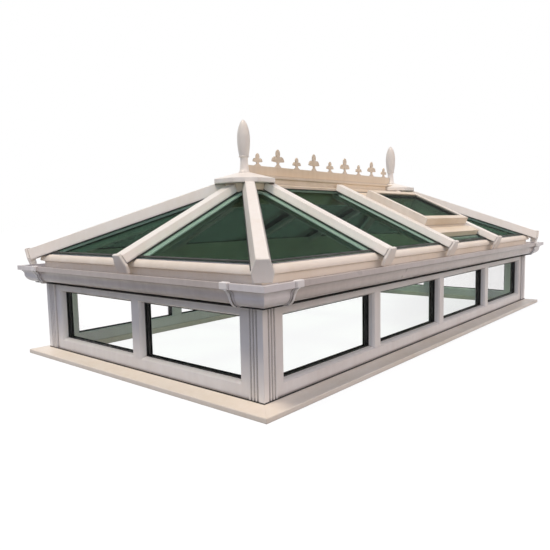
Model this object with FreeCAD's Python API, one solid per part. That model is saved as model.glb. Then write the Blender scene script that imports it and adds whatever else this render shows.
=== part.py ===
"""Hipped roof lantern in white uPVC with a ridge cresting, two finials and one roof vent.

Millimetres, +Z up. The origin is the middle of the footprint, on the underside of the sill.
The long sides face -Y and +Y, the ends face -X and +X. The vent is in the front (-Y) slope.
"""
import FreeCAD
import Part
import math
import os

# Plan and height of the lantern, measured over the corner posts
length = 3000.0
width = 1500.0
frame_height = 352.0
roof_pitch_deg = 25.0
front_lights = 4
end_lights = 2

# Sill
sill_thickness = 30.0
sill_projection = 75.0
sill_nose = 20.0
sill_nose_round = 5.0
sill_inner_lap = 6.0

# Corner posts, as thick as the frames between them, with flutes away from the corner
flute_count = 3
flute_inset = 31.0
flute_pitch = 15.0
flute_mouth = 10.0
flute_floor = 5.0
flute_depth = 6.0

# Side frames: a flat face, a bevelled lip, a glazing rebate and an inner bead
frame_setback = 10.0
frame_depth = 62.0
frame_sight = 58.0
frame_flat = 47.0
frame_bevel_depth = 10.0
frame_bevel_rise = 7.0
outer_lip = 26.0
rebate_depth = 14.0
bead_chamfer = 5.0
mullion_sight = 74.0

# Glazing units
side_unit = 24.0
side_gasket = 2.0
pane_edge_gap = 3.0
roof_unit = 24.0

# Eaves beam, with the rounded trim that closes the lower edge of the roof glass
eaves_glass_height = 132.0
eaves_glass_reach = 10.0
trim_reach = 16.0
trim_foot = 96.0
trim_foot_rise = 5.0
trim_round = 5.0
trim_upstand = 7.0
trim_glass_gap = 1.0

# Ogee gutter, its moulded corners and the union straps at their ends
gutter_wall = 3.0
gutter_base = 48.0
gutter_belly = 72.0
gutter_reach = 95.0
gutter_height = 78.0
gutter_waist = 28.0
gutter_lip_height = 22.0
gutter_lip_wall = 9.0
gutter_lip_step = 5.0
gutter_back_height = 66.0
ogee_bulge = 6.0
gutter_corner_arm = 84.0
gutter_corner_swell = 4.0
union_strap = 24.0
union_swell = 8.0

# Roof bars: a body under the glass, a narrow web between the panes and a cap above
bar_body_width = 50.0
bar_body_depth = 30.0
bar_body_chamfer = 6.0
bar_web = 12.0
bar_pane_gap = 4.0
cap_width = 80.0
cap_edge = 8.0
cap_top_width = 58.0
cap_height = 38.0
cap_overhang = 44.0

# Hip bars and their caps
hip_body_width = 60.0
hip_body_depth = 40.0
hip_cap_width = 72.0
hip_cap_top_width = 46.0
hip_cap_height = 46.0
hip_pane_gap = 20.0

# Shield-shaped ends of the caps
shield_width = 80.0
shield_top_width = 46.0
shield_foot_width = 66.0
shield_height = 88.0
shield_shoulder = 52.0
shield_thickness = 14.0
shield_chamfer = 3.0
shield_rise = 7.0

# Ridge
ridge_beam_width = 60.0
ridge_beam_depth = 100.0
ridge_lip_reach = 72.0
ridge_lip_height = 14.0
ridge_neck = 48.0
ridge_neck_rise = 26.0
ridge_top_width = 116.0
ridge_top_edge = 10.0
ridge_top_bevel = 4.0
ridge_height = 62.0
ridge_pane_gap = 25.0

# Ridge ends: a core takes the bars, a skirt closes the gaps between their caps, a boss covers them
ridge_end_outset = 30.0
ridge_end_sides = 8
hub_core_apothem = 70.0
hub_core_depth = 120.0
skirt_apothem = 100.0
boss_apothem = 155.0
boss_drop = 40.0
boss_rim = 22.0
crown_apothem = 38.0
crown_rise = 34.0

# Cresting
crest_thickness = 8.0
crest_band = 59.0
crest_foot_width = 34.0
crest_foot = 7.0
crest_pitch = 169.0
crest_end_space = 90.0

# Fleurs of the cresting: the tall and the short one, and the heights of their parts as shares
tall_fleur = 99.0
tall_fleur_span = 104.0
short_fleur = 66.0
short_fleur_span = 72.0
fleur_thickness = 6.0
fleur_stem = 18.0
fleur_foot = 56.0
stem_foot_share = 0.16
petal_root_share = 0.28
petal_tip_share = 0.32
petal_top_share = 0.55
petal_bulge_share = 0.15
bud_bulge_share = 0.13

# Finials: heights above the crown of the boss and the radii there
finial_foot_radius = 30.0
finial_foot = 8.0
finial_pedestal_radius = 24.0
finial_pedestal = 40.0
finial_neck_radius = 15.5
finial_neck = 80.0
finial_collar_radius = 27.0
finial_collar = 87.0
finial_bulb_foot_radius = 24.0
finial_bulb_radius = 33.5
finial_bulb = 172.0
finial_height = 271.0
bulb_foot_steps = 3
bulb_head_steps = 5

# Roof vent in one bay of the front slope, counted from the left hip
vent_bay_index = 2
vent_foot_run = 66.0
vent_head_run = 206.0
vent_curb = 30.0
vent_curb_wall = 46.0
vent_cap_gap = 2.0
sash_side_inset = 8.0
sash_foot_inset = 85.0
sash_head_inset = 8.0
sash_height = 45.0
sash_stile = 46.0
sash_ledge = 18.0
sash_ledge_width = 10.0
vent_unit = 20.0

# Values worked out from the sizes above
post_size = frame_setback + frame_depth
eaves_depth = post_size
half_length = length / 2
half_width = width / 2
frame_base = sill_thickness
frame_top = frame_base + frame_height
pitch = math.radians(roof_pitch_deg)
slope = math.tan(pitch)
unit_drop = roof_unit / math.cos(pitch)
eaves_glass_z = frame_top + eaves_glass_height
apex_x = half_length - half_width
ridge_end_x = apex_x + ridge_end_outset
ridge_line_z = eaves_glass_z + (half_width + eaves_glass_reach) * slope
rebate_width = side_unit + 2 * side_gasket
pane_foot_run = half_width - trim_upstand - trim_glass_gap
cap_foot_run = half_width + cap_overhang
pane_head_run = ridge_beam_width / 2 + ridge_pane_gap
pane_bar_gap = bar_web / 2 + bar_pane_gap
ridge_beam_top = ridge_line_z - ridge_beam_width / 2 * slope
ridge_top_z = ridge_line_z - ridge_lip_reach * slope + ridge_height
boss_base_z = ridge_top_z - boss_drop
crown_base_z = boss_base_z + boss_rim
crown_top_z = crown_base_z + crown_rise
sides = {
    "front": (0, half_length, half_width, front_lights),
    "right": (90, half_width, half_length, end_lights),
    "back": (180, half_length, half_width, front_lights),
    "left": (270, half_width, half_length, end_lights),
}
up = FreeCAD.Vector(0, 0, 1)
middle = FreeCAD.Vector(0, 0, 0)
joint_tolerance = 1e-6


# Small helpers
def bar_places(half_run, lights):
    """Mullions and the roof bars above them, so spaced that the lights are equal."""
    clear = 2 * (half_run - post_size - frame_sight) + mullion_sight
    return [(i - lights / 2) * clear / lights for i in range(1, lights)]


def point(x, y, z):
    return FreeCAD.Vector(x, y, z)


def face_of(points):
    return Part.Face(Part.makePolygon(points + points[:1]))


def turned(shape, degrees):
    copy = shape.copy()
    copy.rotate(middle, up, degrees)
    return copy


def mirrored_ends(shape):
    return [shape, shape.mirror(middle, point(1, 0, 0))]


def slab(plan, low, high):
    """An upright prism over a plan outline."""
    return face_of([point(x, y, low) for x, y in plan]).extrude(point(0, 0, high - low))


def both_ways(right):
    """An outline that is the same on both sides of its middle line."""
    return right + [(-w, z) for w, z in reversed(right)]


def bulged(start, end, bulge):
    """Start, crown and end of an arc that stands off its chord, to the right of its run."""
    across = end[0] - start[0]
    rise = end[1] - start[1]
    chord = math.hypot(across, rise)
    crown = (
        (start[0] + end[0]) / 2 + bulge * rise / chord,
        (start[1] + end[1]) / 2 - bulge * across / chord,
    )
    return [start, crown, end]


def outline(items, place):
    """Closed wire of straight edges and three-point arcs; place puts a flat point in space."""
    spots = [[place(*spot) for spot in item] for item in items]
    edges = []
    for i, item in enumerate(spots):
        following = spots[(i + 1) % len(spots)][0]
        if len(item) == 3:
            edges.append(Part.Arc(*item).toShape())
        if not following.isEqual(item[-1], joint_tolerance):
            edges.append(Part.makeLine(item[-1], following))
    return Part.Wire(edges)


def export(name, shapes):
    solids = [solid for shape in shapes for solid in shape.Solids]
    piece = solids[0] if len(solids) == 1 else Part.makeCompound(solids)
    piece.exportStep("parts/" + name + ".step")


# Lengths that run along a side and meet at the corners in a mitre
def on_front(offset, height):
    return point(0, -offset, height)


def side_length(items, half_run, depth, start=None, end=None):
    """Sweeps a section of outward offset and height along the front; a free end is mitred."""
    offsets = [n for item in items for n, z in item]
    heights = [z for item in items for n, z in item]
    low = min(offsets)
    high = max(offsets)
    section = Part.Face(outline(items, on_front))
    section.translate(point(-half_run - high, -depth, 0))
    bar = section.extrude(point(2 * (half_run + high), 0, 0))
    plan = [
        (-half_run - low if start is None else start, -depth - low),
        (half_run + low if end is None else end, -depth - low),
        (half_run + high if end is None else end, -depth - high),
        (-half_run - high if start is None else start, -depth - high),
    ]
    return bar.common(slab(plan, min(heights), max(heights)))


def sill(half_run, depth):
    inner = -(frame_setback + frame_depth + sill_inner_lap)
    corner = sill_nose_round * (1 - math.cos(math.pi / 4))
    section = [
        [(inner, 0)],
        [(sill_projection, 0)],
        [
            (sill_projection, sill_nose - sill_nose_round),
            (sill_projection - corner, sill_nose - corner),
            (sill_projection - sill_nose_round, sill_nose),
        ],
        [(0, sill_thickness)],
        [(inner, sill_thickness)],
    ]
    return side_length(section, half_run, depth)


def eaves_beam(half_run, depth):
    under = eaves_glass_z + (eaves_glass_reach + trim_upstand) * slope - unit_drop
    foot = frame_top + trim_foot
    section = [
        [(-eaves_depth, frame_top)],
        [(0, frame_top)],
        [(0, foot)],
        bulged((trim_reach, foot + trim_foot_rise), (0, eaves_glass_z), trim_round),
        [(-trim_upstand, eaves_glass_z)],
        [(-trim_upstand, under)],
        [(-eaves_depth, under + (eaves_depth - trim_upstand) * slope)],
    ]
    return side_length(section, half_run, depth)


def gutter_section(swell):
    """Ogee section; swell thickens it outwards for the corners and the straps."""
    base = frame_top - swell
    floor = frame_top + gutter_wall
    waist = frame_top + gutter_waist
    brow = frame_top + gutter_height - gutter_lip_height
    lip = frame_top + gutter_height
    belly = gutter_belly + swell
    reach = gutter_reach + swell
    cove = reach - gutter_lip_step
    inner = gutter_reach - gutter_lip_wall
    inner_belly = gutter_belly - gutter_wall
    return [
        [(0, base)],
        bulged((gutter_base, base), (belly, waist), ogee_bulge),
        bulged((belly, waist), (cove, brow), -ogee_bulge),
        [(reach, brow)],
        [(reach, lip)],
        [(inner, lip)],
        bulged((inner, brow + gutter_wall), (inner_belly, waist), ogee_bulge),
        bulged((inner_belly, waist), (gutter_base - gutter_wall, floor), -ogee_bulge),
        [(gutter_wall, floor)],
        [(gutter_wall, frame_top + gutter_back_height)],
        [(0, frame_top + gutter_back_height)],
    ]


def gutter(half_run, depth):
    stop = half_run - gutter_corner_arm
    return side_length(gutter_section(0), half_run, depth, -stop, stop)


def gutter_corner(half_run, depth):
    """The moulded angle at the left of a side, with a strap round each end."""
    bend = gutter_section(gutter_corner_swell)
    strap = gutter_section(union_swell)
    neck = gutter_corner_arm - union_strap
    this_side = [
        side_length(bend, half_run, depth, None, neck - half_run),
        side_length(strap, half_run, depth, neck - half_run, gutter_corner_arm - half_run),
    ]
    other_side = [
        side_length(bend, depth, half_run, depth - neck, None),
        side_length(strap, depth, half_run, depth - gutter_corner_arm, depth - neck),
    ]
    pieces = this_side + [turned(piece, -90) for piece in other_side]
    return pieces[0].fuse(pieces[1:]).removeSplitter()


# Corner posts
def corner_post():
    x = -half_length
    y = -half_width
    plan = [(x, y), (x + post_size, y), (x + post_size, y + post_size), (x, y + post_size)]
    flute = [
        (-flute_mouth / 2, 0),
        (flute_mouth / 2, 0),
        (flute_floor / 2, flute_depth),
        (-flute_floor / 2, flute_depth),
    ]
    cuts = []
    for i in range(flute_count):
        along = flute_inset + i * flute_pitch
        cuts.append(slab([(x + along + w, y + d) for w, d in flute], frame_base, frame_top))
        cuts.append(slab([(x + d, y + along + w) for w, d in flute], frame_base, frame_top))
    return slab(plan, frame_base, frame_top).cut(Part.makeCompound(cuts))


# Side frames
def frame_profile():
    """Section of the outer frame: (offset, distance in from the outer edge)."""
    face = -frame_setback
    glass = face - outer_lip
    back = glass - rebate_width
    inner = face - frame_depth
    floor = frame_sight - rebate_depth
    return [
        (face, 0),
        (face, frame_flat),
        (face - frame_bevel_depth, frame_flat + frame_bevel_rise),
        (glass, frame_sight),
        (glass, floor),
        (back, floor),
        (back, frame_sight),
        (inner + bead_chamfer, frame_sight),
        (inner, frame_sight - bead_chamfer),
        (inner, 0),
    ]


def frame_member(run):
    """One mitred length of outer frame, lying along X with its outer edge at height zero."""
    section = face_of([point(-run / 2, -n, h) for n, h in frame_profile()])
    bar = section.extrude(point(run, 0, 0))
    mitre = both_ways([(run / 2, 0), (run / 2 - frame_sight, frame_sight)])
    wedge = face_of([point(x, frame_setback, h) for x, h in mitre]).extrude(point(0, frame_depth, 0))
    return bar.common(wedge)


def mullion(x, depth):
    """The same section on both sides of its middle line, as high as the frame."""
    shift = mullion_sight / 2 - frame_sight
    right = [(h + shift, n) for n, h in frame_profile() if h > 0]
    plan = [(x + w, -depth - n) for w, n in both_ways(right)]
    return slab(plan, frame_base, frame_top)


def side_frame(half_run, depth, lights):
    """Rails, uprights and panes of one side."""
    half = half_run - post_size
    tilt = point(0, 1, 0)
    rail_low = frame_member(2 * half)
    rail_high = rail_low.copy()
    rail_high.rotate(middle, tilt, 180)
    rail_low.translate(point(0, -depth, frame_base))
    rail_high.translate(point(0, -depth, frame_top))
    jambs = []
    for sign in (-1, 1):
        jamb = frame_member(frame_height)
        jamb.rotate(middle, tilt, -90 * sign)
        jamb.translate(point(sign * half, -depth, (frame_base + frame_top) / 2))
        jambs.append(jamb)
    places = bar_places(half_run, lights)
    posts = [mullion(x, depth).cut(rail_low).cut(rail_high) for x in places]
    floor = frame_sight - rebate_depth
    glass = -depth + frame_setback + outer_lip + side_gasket
    web = mullion_sight / 2 - rebate_depth
    left_edges = [-half + floor] + [x + web for x in places]
    right_edges = [x - web for x in places] + [half - floor]
    panes = []
    for left, right in zip(left_edges, right_edges):
        pane_width = right - left - 2 * pane_edge_gap
        pane_height = frame_height - 2 * floor - pane_edge_gap
        corner = point(left + pane_edge_gap, glass, frame_base + floor)
        panes.append(Part.makeBox(pane_width, side_unit, pane_height, corner))
    return [rail_low, rail_high], jambs + posts, panes


# Roof pieces are drawn on the front slope: x across, run in plan from the ridge, lift off the glass
def glass_z(run):
    return ridge_line_z - run * slope


def on_slope(x, run, lift=0.0):
    return point(x, -run - lift * math.sin(pitch), glass_z(run) + lift * math.cos(pitch))


def lifted(lift):
    return on_slope(0, 0, lift) - on_slope(0, 0)


def slope_field(apex, hip_gap, head, foot):
    """One slope between head and foot, held back from its hips; a short one ends in a point."""
    inset = hip_gap * math.sqrt(2)
    foot_half = apex + foot - inset
    head_half = apex + head - inset
    if head_half > 0:
        return [(-foot_half, foot), (foot_half, foot), (head_half, head), (-head_half, head)]
    return [(-foot_half, foot), (foot_half, foot), (0.0, inset - apex)]


def in_plan(field):
    return slab([(x, -run) for x, run in field], 0, ridge_top_z)


def slope_bar(section, foot, head, apex, hip_gap):
    """A bar up the slope from a square-cut foot, stopped at the hips; section is (across, lift)."""
    profile = face_of([on_slope(x, foot, q) for x, q in section])
    bar = profile.extrude(on_slope(0, 0) - on_slope(0, foot))
    return bar.common(in_plan(slope_field(apex, hip_gap, head, foot + cap_height)))


def bar_section(x):
    half = bar_body_width / 2
    web = bar_web / 2
    foot = -roof_unit - bar_body_depth
    right = [
        (web, 0),
        (web, -roof_unit),
        (half, -roof_unit),
        (half, foot + bar_body_chamfer),
        (half - bar_body_chamfer, foot),
    ]
    return [(x + w, q) for w, q in both_ways(right)]


def cap_section(x):
    right = [(cap_top_width / 2, cap_height), (cap_width / 2, cap_edge), (cap_width / 2, 0)]
    return [(x + w, q) for w, q in both_ways(right)]


def on_cap_foot(across, lift):
    """A point of the section of a front cap where it ends."""
    return on_slope(across, cap_foot_run, lift)


# Ridge ends
def octagon(apothem):
    half_step = math.pi / ridge_end_sides
    radius = apothem / math.cos(half_step)
    corners = [(2 * i + 1) * half_step for i in range(ridge_end_sides)]
    return [(ridge_end_x + radius * math.cos(a), radius * math.sin(a)) for a in corners]


def column(apothem):
    """Eight-sided space at the ridge end, from the floor to the top of the boss."""
    return slab(octagon(apothem), 0, crown_top_z)


def hub():
    """Eight-sided core of the ridge end, which takes the ridge beam, the hips and the end bar."""
    return slab(octagon(hub_core_apothem), boss_base_z - hub_core_depth, boss_base_z)


def cap_stop():
    """Column that the caps stop against, and the space of the boss that they pass under."""
    return column(skirt_apothem).fuse(slab(octagon(boss_apothem), boss_base_z, crown_top_z))


def roof_body():
    """Everything under the top of the glass."""
    reach = half_width + eaves_glass_reach
    far = apex_x + reach
    gable = [(-reach, eaves_glass_z), (reach, eaves_glass_z), (0, ridge_line_z)]
    hips = both_ways([(far, eaves_glass_z), (apex_x, ridge_line_z)])
    across = face_of([point(-far, y, z) for y, z in gable]).extrude(point(2 * far, 0, 0))
    along = face_of([point(x, -reach, z) for x, z in hips]).extrude(point(0, 2 * reach, 0))
    return across.common(along)


def skirt():
    """Skirt of the ridge end, on the glass and under the boss."""
    low = eaves_glass_z
    outside = slab(octagon(skirt_apothem), low, boss_base_z)
    inside = slab(octagon(hub_core_apothem), low, boss_base_z)
    return outside.cut(inside).cut(roof_body())


def boss():
    """Eight-sided cover plate with a pitched crown that carries the finial, where strips cross."""
    right = [(boss_apothem, boss_base_z), (boss_apothem, crown_base_z), (crown_apothem, crown_top_z)]
    section = face_of([point(w, -boss_apothem, z) for w, z in both_ways(right)])
    body = slab(octagon(boss_apothem), boss_base_z, crown_top_z)
    body.translate(point(-ridge_end_x, 0, 0))
    for i in range(ridge_end_sides // 2):
        strip = section.extrude(point(0, 2 * boss_apothem, 0))
        body = body.common(turned(strip, i * 360 / ridge_end_sides))
    body.translate(point(ridge_end_x, 0, 0))
    return body


def bulb_arc(reach, first, last, steps):
    """Points of the finial's bulb on an ellipse about its widest height, between two angles."""
    angles = [first + (last - first) * i / steps for i in range(steps + 1)]
    return [(finial_bulb_radius * math.cos(a), finial_bulb + reach * math.sin(a)) for a in angles]


def finial():
    """Turned finial: foot, pedestal, neck, collar and a bulb that draws to a point."""
    foot_angle = -math.acos(finial_bulb_foot_radius / finial_bulb_radius)
    foot_reach = (finial_collar - finial_bulb) / math.sin(foot_angle)
    profile = [
        (0, 0),
        (finial_foot_radius, 0),
        (finial_pedestal_radius, finial_foot),
        (finial_pedestal_radius, finial_pedestal),
        (finial_neck_radius, finial_pedestal),
        (finial_neck_radius, finial_neck),
        (finial_collar_radius, finial_neck),
        (finial_collar_radius, finial_collar),
    ]
    profile += bulb_arc(foot_reach, foot_angle, 0, bulb_foot_steps)
    profile += bulb_arc(finial_height - finial_bulb, 0, math.pi / 2, bulb_head_steps)[1:-1]
    profile += [(0, finial_height)]
    body = face_of([point(r, 0, crown_top_z + z) for r, z in profile]).revolve(middle, up, 360)
    body.translate(point(ridge_end_x, 0, 0))
    return body


# Hips run from the corners of the eaves to the ridge ends
hip_plan = point(1, 1, 0).normalize()
hip_across = point(1, -1, 0).normalize()
hip_pitch = math.atan(slope / math.sqrt(2))
hip_along = hip_plan * math.cos(hip_pitch) + up * math.sin(hip_pitch)
hip_normal = up * math.cos(hip_pitch) - hip_plan * math.sin(hip_pitch)
hip_fall = math.sin(hip_pitch)
hip_foot_run = cap_foot_run * math.sqrt(2) / math.cos(hip_pitch)
hip_head_run = ridge_end_outset / math.sqrt(2) / math.cos(hip_pitch)
hip_foot = point(-apex_x, 0, ridge_line_z) - hip_along * hip_foot_run


def on_hip_foot(across, lift):
    """A point of the section of the front-left hip where its cap ends."""
    return hip_foot + hip_across * across + hip_normal * lift


def hip_bar(section):
    """A bar along the front-left hip, from a square-cut foot up to the ridge end."""
    profile = face_of([on_hip_foot(w, q) for w, q in section])
    return profile.extrude(hip_along * (hip_foot_run - hip_head_run))


def hip_body_section():
    half = hip_body_width / 2
    web = bar_web / 2
    seat = -unit_drop
    foot = seat - hip_body_depth
    right = [
        (web, -web * hip_fall),
        (web, seat - web * hip_fall),
        (half, seat - half * hip_fall),
        (half, foot + bar_body_chamfer),
        (half - bar_body_chamfer, foot),
    ]
    return [(0, 0)] + both_ways(right)


def hip_cap_section():
    half = hip_cap_width / 2
    fall = -half * hip_fall
    right = [(half, fall), (half, fall + cap_edge), (hip_cap_top_width / 2, hip_cap_height)]
    return [(0, 0)] + both_ways(right)


def within_eaves():
    """The space between the eaves beams, where the bodies of the bars and hips end."""
    x = half_length - eaves_depth
    y = half_width - eaves_depth
    return slab([(-x, -y), (x, -y), (x, y), (-x, y)], 0, ridge_top_z)


def four_corners(shape):
    other = shape.mirror(middle, point(1, 0, 0))
    return [turned(piece, angle) for piece in (shape, other) for angle in (0, 180)]


def shield(top, place, fall):
    """Shield-shaped plate on the square end of a cap; fall is the way down the bar."""
    right = [
        (shield_top_width / 2, top),
        (shield_width / 2, top - shield_shoulder),
        (shield_foot_width / 2, top - shield_height),
    ]
    plate = face_of([place(w, q) for w, q in both_ways(right)]).extrude(fall * shield_thickness)
    front = max(plate.Faces, key=lambda face: face.CenterOfMass.dot(fall))
    return plate.makeChamfer(shield_chamfer, front.Edges)


# Roof panes
def pane(field):
    """A sealed unit under the glass plane; the field is (across, run from the ridge)."""
    return face_of([on_slope(x, run) for x, run in field]).extrude(lifted(-roof_unit))


def bay_space(left, right):
    """The space of one bay, between the webs of its bars or out past a hip."""
    left_edge = -length if left is None else left + pane_bar_gap
    right_edge = length if right is None else right - pane_bar_gap
    return in_plan([(left_edge, width), (right_edge, width), (right_edge, 0), (left_edge, 0)])


def slope_panes(apex, bars, vent_bay):
    """Panes of one slope between its hips and bars; the vent's bay keeps a strip below the vent."""
    strip_head = half_width - vent_foot_run + pane_edge_gap
    sheet = pane(slope_field(apex, hip_pane_gap, pane_head_run, pane_foot_run))
    strip = pane(slope_field(apex, hip_pane_gap, strip_head, pane_foot_run))
    edges = [None] + bars + [None]
    panes = []
    for i, (left, right) in enumerate(zip(edges, edges[1:])):
        whole = strip if i == vent_bay else sheet
        panes.append(whole.common(bay_space(left, right)))
    return panes


# Ridge
def ridge_beam():
    half = ridge_end_x - hub_core_apothem
    corner = point(-half, -ridge_beam_width / 2, ridge_beam_top - ridge_beam_depth)
    return Part.makeBox(2 * half, ridge_beam_width, ridge_beam_depth, corner)


def ridge_cover(stops):
    lip = glass_z(ridge_lip_reach)
    right = [
        (ridge_beam_width / 2, ridge_beam_top),
        (ridge_lip_reach, lip),
        (ridge_lip_reach, lip + ridge_lip_height),
        (ridge_neck, lip + ridge_neck_rise),
        (ridge_neck, ridge_top_z - ridge_top_edge - ridge_top_bevel),
        (ridge_top_width / 2, ridge_top_z - ridge_top_edge),
        (ridge_top_width / 2, ridge_top_z),
    ]
    section = face_of([point(-ridge_end_x, w, z) for w, z in both_ways(right)])
    return section.extrude(point(2 * ridge_end_x, 0, 0)).cut(Part.makeCompound(stops))


# Cresting
def fleur(x, height, span):
    """Flat flower with a pointed bud and two drooping petals on a stem, in the ridge plane."""
    stem = fleur_stem / 2
    tip = (span / 2, petal_tip_share * height)
    top = (stem, petal_top_share * height)
    petal_bulge = petal_bulge_share * span
    bud_bulge = bud_bulge_share * height
    right = [
        [(fleur_foot / 2, 0)],
        [(stem, stem_foot_share * height)],
        [(stem, petal_root_share * height)],
        bulged(tip, top, petal_bulge),
        bulged(top, (0, height), bud_bulge),
    ]
    left = [[(-w, h) for w, h in reversed(item)] for item in reversed(right)]
    base = ridge_top_z + crest_band
    front = Part.Face(outline(right + left, lambda w, h: point(x + w, -fleur_thickness / 2, base + h)))
    return front.extrude(point(0, fleur_thickness, 0))


def cresting(stops):
    """Band on the ridge with short and tall fleurs in turn, a short one in the middle."""
    half = ridge_end_x - finial_neck_radius
    band_corner = point(-half, -crest_thickness / 2, ridge_top_z)
    band = Part.makeBox(2 * half, crest_thickness, crest_band, band_corner)
    foot_corner = point(-half, -crest_foot_width / 2, ridge_top_z)
    foot = Part.makeBox(2 * half, crest_foot_width, crest_foot, foot_corner)
    side_count = int((ridge_end_x - crest_end_space) / crest_pitch)
    flowers = []
    for i in range(-side_count, side_count + 1):
        height, span = (short_fleur, short_fleur_span) if i % 2 == 0 else (tall_fleur, tall_fleur_span)
        flowers.append(fleur(i * crest_pitch, height, span))
    return band.fuse([foot] + flowers).cut(Part.makeCompound(stops)).removeSplitter()


# Vent
def plate(limits, low, high):
    """A flat plate on the slope between two lifts; limits are its x and run."""
    x0, x1, r0, r1 = limits
    corners = [(x0, r0), (x1, r0), (x1, r1), (x0, r1)]
    return face_of([on_slope(x, run, low) for x, run in corners]).extrude(lifted(high - low))


def inset(limits, sides_in, head_in, foot_in):
    x0, x1, r0, r1 = limits
    return (x0 + sides_in, x1 - sides_in, r0 + head_in, r1 - foot_in)


def members(frame, limits):
    """Cuts a frame on the slope along its mitres into its two stiles and its two rails."""
    x0, x1, r0, r1 = limits
    mid_run = (r0 + r1) / 2
    half = (r1 - r0) / 2
    left = (x0 + half, mid_run)
    right = (x1 - half, mid_run)
    wedges = [
        [(x0, r0), left, (x0, r1)],
        [(x1, r0), right, (x1, r1)],
        [(x0, r0), (x1, r0), right, left],
        [(x0, r1), (x1, r1), right, left],
    ]
    cut = []
    for wedge in wedges:
        foot = face_of([on_slope(x, run, -roof_unit) for x, run in wedge])
        cut.append(frame.common(foot.extrude(lifted(roof_unit + vent_curb + sash_height))))
    return cut[:2], cut[2:]


def vent(bars, stops):
    """Frame, sash and glass of the roof vent; its flange lies between the bars as a pane does."""
    left = bars[vent_bay_index - 1]
    right = bars[vent_bay_index]
    foot = half_width - vent_foot_run
    flange = (left + pane_bar_gap, right - pane_bar_gap, pane_head_run, foot)
    reach = cap_width / 2 + vent_cap_gap
    curb = (left + reach, right - reach, vent_head_run, foot)
    opening = inset(curb, vent_curb_wall, vent_curb_wall, vent_curb_wall)
    sheet = pane(slope_field(apex_x, hip_pane_gap, pane_head_run, foot)).common(bay_space(left, right))
    frame = sheet.cut(stops).fuse(plate(curb, 0, vent_curb)).cut(plate(opening, -roof_unit, vent_curb))
    sash_edge = inset(curb, sash_side_inset, sash_head_inset, sash_foot_inset)
    light = inset(sash_edge, sash_stile, sash_stile, sash_stile)
    rebate = inset(light, -sash_ledge_width, -sash_ledge_width, -sash_ledge_width)
    seat = vent_curb + sash_ledge
    sash_top = vent_curb + sash_height
    hollow = [plate(light, vent_curb, seat), plate(rebate, seat, sash_top)]
    sash = plate(sash_edge, vent_curb, sash_top).cut(hollow[0]).cut(hollow[1])
    unit = plate(inset(rebate, pane_edge_gap, pane_edge_gap, pane_edge_gap), seat, seat + vent_unit)
    return members(frame.removeSplitter(), flange), members(sash, sash_edge), unit


# Assembly
def build_walls():
    """Sills, side frames, side glass, eaves beams, gutters and corner posts."""
    corners = ["front_left", "front_right", "back_right", "back_left"]
    for corner, (name, (turn, half_run, depth, lights)) in zip(corners, sides.items()):
        export("sill_" + name, [turned(sill(half_run, depth), turn)])
        rails, uprights, panes = side_frame(half_run, depth, lights)
        export(name + "_frame_rails", [turned(s, turn) for s in rails])
        export(name + "_frame_uprights", [turned(s, turn) for s in uprights])
        export(name + "_glass", [turned(s, turn) for s in panes])
        export("eaves_beam_" + name, [turned(eaves_beam(half_run, depth), turn)])
        export("gutter_" + name, [turned(gutter(half_run, depth), turn)])
        export("gutter_corner_" + corner, [turned(gutter_corner(half_run, depth), turn)])
    post = corner_post()
    export("corner_post_front_left", [post])
    export("corner_post_front_right", [post.mirror(middle, point(1, 0, 0))])
    export("corner_post_back_right", [turned(post, 180)])
    export("corner_post_back_left", [post.mirror(middle, point(0, 1, 0))])


def build_ridge():
    """Ridge beam and cover, the ridge ends, the cresting and the finials."""
    hubs = mirrored_ends(hub())
    skirts = mirrored_ends(skirt())
    bosses = mirrored_ends(boss())
    finials = mirrored_ends(finial())
    export("ridge_beam", [ridge_beam()])
    export("ridge_end_hubs", hubs)
    export("ridge_end_skirts", skirts)
    export("ridge_cover", [ridge_cover(bosses + skirts + hubs)])
    export("ridge_end_bosses", bosses)
    export("cresting", [cresting(finials + bosses)])
    export("finials", finials)


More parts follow.
